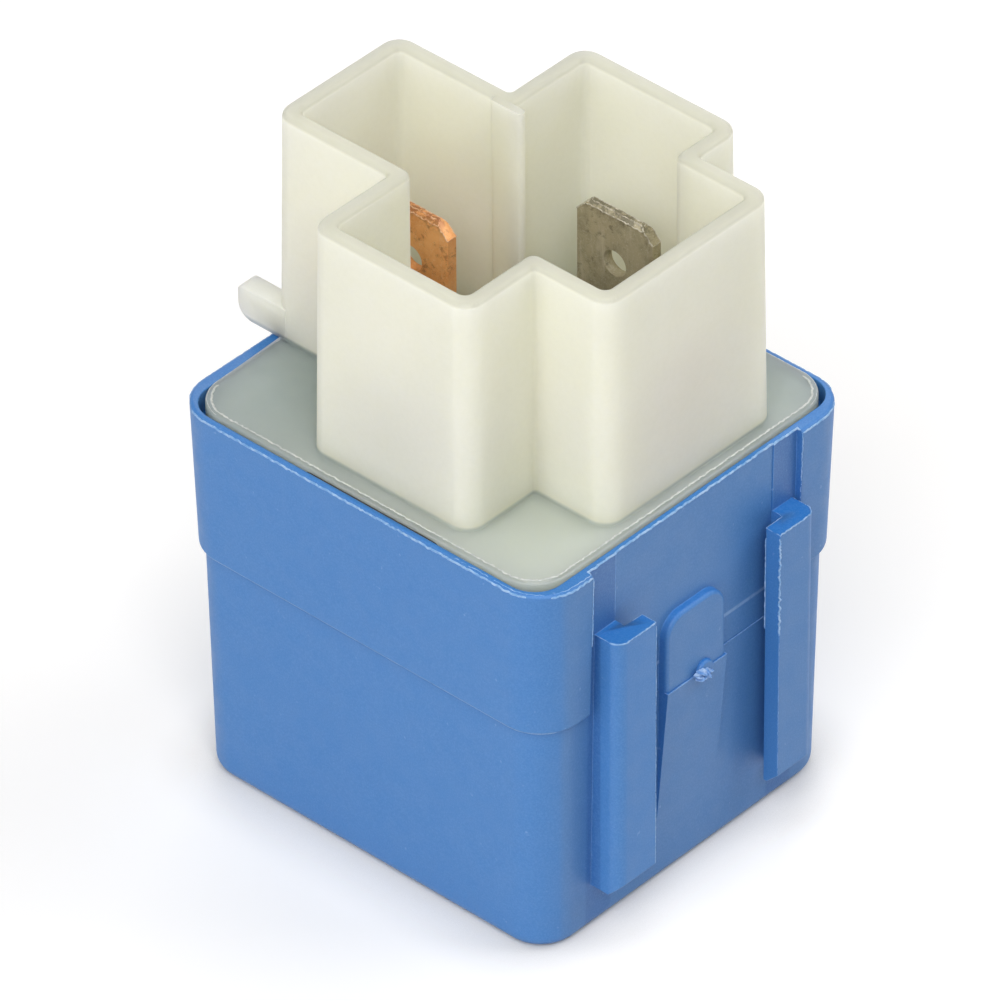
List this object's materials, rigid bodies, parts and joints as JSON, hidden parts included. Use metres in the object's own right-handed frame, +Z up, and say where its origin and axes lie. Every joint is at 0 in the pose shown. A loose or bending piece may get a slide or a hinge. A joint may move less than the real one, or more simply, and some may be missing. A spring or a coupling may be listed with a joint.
{
  "type": "plug-in automotive relay",
  "caption": "Small cube relay with a blue moulded cover, bracket rails and a milky plug shroud around flat blade terminals.",
  "frame": {"origin": "centre of the cover's closed foot, on the face it stands on", "axes": "+Z up out of the plug shroud, along the blades; +X out of the side with the two bracket rails; -X is the side with the shroud's tab"},
  "size_m": [0.0354, 0.0288, 0.0463],
  "materials": {
    "blue_plastic": "fine moulded grain, slightly satin, worn pale at the edges",
    "ivory_plastic": "translucent milky white, satin",
    "tinned_blade": "dull tin plate over brass",
    "copper_blade": "bare copper alloy, stamped",
    "spring_bronze": "rolled strip",
    "plated_steel": "zinc plated, dull",
    "black_plastic": "moulded, plain",
    "enamelled_wire": "enamelled copper wire, packed in layers",
    "clear_tape": "amber film",
    "rivet_brass": "upset heads",
    "contact_silver": "silver alloy, slightly domed by use",
    "resistor_body": "lacquered",
    "tinned_wire": "tinned"
  },
  "bodies": {
    "case": {"cover": "blue_plastic", "base": "ivory_plastic", "coil_terminal_a": "tinned_blade", "coil_terminal_b": "tinned_blade", "load_terminal": "copper_blade", "common_terminal": "copper_blade", "back_stop": "spring_bronze", "yoke": "plated_steel", "core": "plated_steel", "bobbin": "black_plastic", "coil_winding": "enamelled_wire", "coil_wrap": "clear_tape", "fixed_contact": "contact_silver", "hinge_spring": "spring_bronze", "hinge_rivets": "rivet_brass", "resistor": "resistor_body", "resistor_lead_a": "tinned_wire", "resistor_lead_b": "tinned_wire", "coil_lead_a": "enamelled_wire", "coil_lead_b": "enamelled_wire"},
    "armature_group": {"armature": "plated_steel", "contact_leaf": "spring_bronze", "leaf_rivets": "rivet_brass", "moving_contact": "contact_silver"}
  },
  "joints": [
    {"name": "armature_hinge", "type": "hinge", "parent": "case", "child": "armature_group", "pos_m": [0.00891, 0.00042, 0.00636], "axis": [0, 1, 0], "range_deg": [0, 2.6], "stiffness_Nm_per_rad": 0.01, "springref_deg": -11.46}
  ]
}
